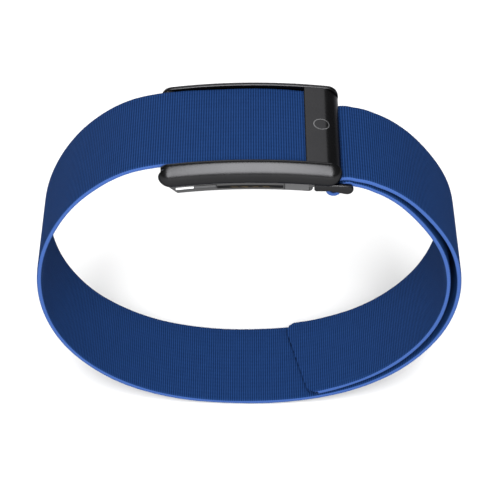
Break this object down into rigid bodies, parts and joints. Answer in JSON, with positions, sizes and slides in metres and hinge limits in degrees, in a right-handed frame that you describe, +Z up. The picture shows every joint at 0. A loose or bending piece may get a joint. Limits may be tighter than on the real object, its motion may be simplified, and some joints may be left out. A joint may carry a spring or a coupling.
{
  "type": "fitness tracker band",
  "caption": "Screenless fitness tracker: a curved sensor pod under a hinged metal clasp frame, on a knitted strap that turns back through a link.",
  "frame": {"origin": "on the wearer's arm axis, at the middle of the strap loop, halfway across the strap", "axes": "+Z up through the pod and clasp, +Y along the arm, +X from the clasp hinge towards the strap link"},
  "size_m": [0.1024, 0.0316, 0.0847],
  "materials": {
    "black_metal": "satin black coating",
    "steel": "ground",
    "black_polymer": "fine matt",
    "rubber_seal": "matt",
    "light_pipe": "frosted, translucent",
    "grey_trim": "satin",
    "gold_contact": "polished plating",
    "smoked_glass": "gloss, dark tinted",
    "green_diode": "clear resin over green",
    "red_diode": "clear resin over red",
    "dark_diode": "dark resin",
    "photo_cell": "clear resin over silicon",
    "circuit_board": "solder mask",
    "chip_plastic": "moulded resin",
    "shield_tin": "tinned sheet",
    "cell_foil": "foil pouch",
    "flex_film": "polyimide film",
    "blue_knit": "ribbed elastic knit with a lighter edge"
  },
  "bodies": {
    "pod": {"hinge_pin_near": "steel", "hinge_pin_far": "steel", "pod_bottom_case": "black_polymer", "pod_top_cover": "black_polymer", "case_seal": "rubber_seal", "status_light_window": "light_pipe", "side_trim": "grey_trim", "antenna_cover_near": "grey_trim", "antenna_cover_far": "grey_trim", "charge_contact_1": "gold_contact", "charge_contact_2": "gold_contact", "charge_contact_3": "gold_contact", "charge_contact_4": "gold_contact", "sensor_window": "smoked_glass", "light_baffle": "rubber_seal", "green_led_1": "green_diode", "green_led_2": "green_diode", "green_led_3": "green_diode", "red_led": "red_diode", "infrared_led": "dark_diode", "photodiode_1": "photo_cell", "photodiode_2": "photo_cell", "photodiode_3": "photo_cell", "photodiode_4": "photo_cell", "sensor_board": "circuit_board", "temperature_sensor": "chip_plastic", "status_led": "light_pipe", "main_board": "circuit_board", "processor_chip": "chip_plastic", "memory_chip": "chip_plastic", "radio_shield": "shield_tin", "motion_sensor": "chip_plastic", "battery_board": "circuit_board", "battery_cell": "cell_foil", "sensor_flex": "flex_film", "haptic_motor_can": "shield_tin", "haptic_motor_shaft": "steel", "link_pin_near": "steel", "link_pin_far": "steel", "strap_loop": "blue_knit", "strap_tail": "blue_knit"},
    "clasp": {"clasp_frame": "black_metal", "strap_anchor_rod": "steel", "strap_top_span": "blue_knit"},
    "link": {"link_frame": "black_metal", "strap_link_turn": "blue_knit"},
    "motor_weight": {"haptic_weight": "steel"}
  },
  "joints": [
    {"name": "clasp_hinge", "type": "hinge", "parent": "pod", "child": "clasp", "pos_m": [-0.0177, 0, 0.0389], "axis": [0, -1, 0], "range_deg": [0, 105]},
    {"name": "link_hinge", "type": "hinge", "parent": "pod", "child": "link", "pos_m": [0.0164, 0, 0.0343], "axis": [0, 1, 0], "range_deg": [0, 20]},
    {"name": "motor_spin", "type": "hinge", "parent": "pod", "child": "motor_weight", "pos_m": [0.0092, 0.0049, 0.036], "axis": [0, 0, 1], "continuous": true}
  ]
}
